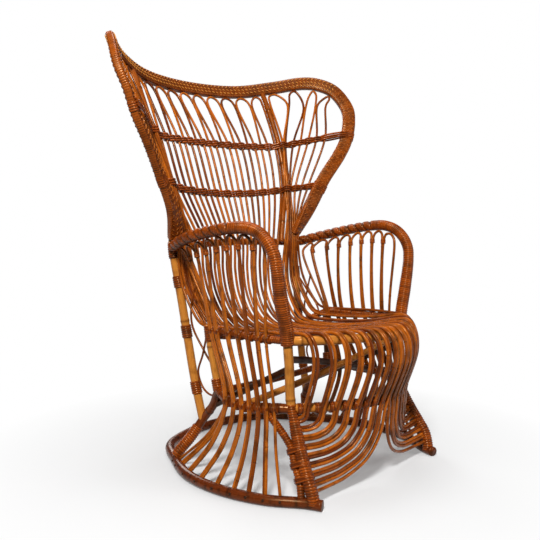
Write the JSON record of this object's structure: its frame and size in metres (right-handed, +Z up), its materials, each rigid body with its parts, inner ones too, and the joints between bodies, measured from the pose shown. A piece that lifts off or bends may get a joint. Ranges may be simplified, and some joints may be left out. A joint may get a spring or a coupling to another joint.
{
  "type": "peacock chair",
  "caption": "High fan-backed armchair of bent cane: hairpin canes hang from a wide bound rim, sweep forward as the seat and fan out to a floor hoop.",
  "frame": {"origin": "middle of the bounding box on the floor", "axes": "+X to the side, +Y towards the back, +Z up; the chair faces -Y"},
  "size_m": [0.9984, 0.8434, 1.1883],
  "materials": {
    "cane": "varnished, satin gloss",
    "pole": "varnished, satin gloss",
    "wrap": "bound with cane peel, satin",
    "foot": "varnished, satin"
  },
  "bodies": {
    "root": {"back_rim": "wrap", "floor_hoop": "foot", "back_rail": "wrap", "front_seat_rail": "wrap", "front_waist_rail": "wrap", "rear_seat_rail": "wrap", "rear_waist_rail": "wrap", "upper_strand_1": "wrap", "upper_strand_2": "wrap", "lower_strand_1": "wrap", "lower_strand_2": "wrap", "arm_pole_left": "pole", "arm_pole_right": "pole", "rear_leg_left": "pole", "rear_leg_right": "pole", "waist_pole_left": "wrap", "waist_pole_right": "wrap", "rear_pole_left": "pole", "rear_pole_right": "pole", "inner_pole_left": "pole", "inner_pole_right": "pole", "side_seat_rail_left": "wrap", "side_seat_rail_right": "wrap", "cross_brace_left": "pole", "cross_brace_right": "pole", "side_brace_left": "pole", "side_brace_right": "pole", "foot_brace_left": "pole", "foot_brace_right": "pole", "thin_cane_left": "cane", "thin_cane_right": "cane", "arm_panel_left": "cane", "arm_panel_right": "cane", "back_loop_left_1": "cane", "back_loop_left_2": "cane", "back_loop_left_3": "cane", "back_loop_left_4": "cane", "back_loop_left_5": "cane", "back_loop_left_6": "cane", "back_loop_left_7": "cane", "back_loop_left_8": "cane", "back_loop_left_9": "cane", "back_loop_right_1": "cane", "back_loop_right_2": "cane", "back_loop_right_3": "cane", "back_loop_right_4": "cane", "back_loop_right_5": "cane", "back_loop_right_6": "cane", "back_loop_right_7": "cane", "back_loop_right_8": "cane", "back_loop_right_9": "cane"}
  },
  "joints": []
}
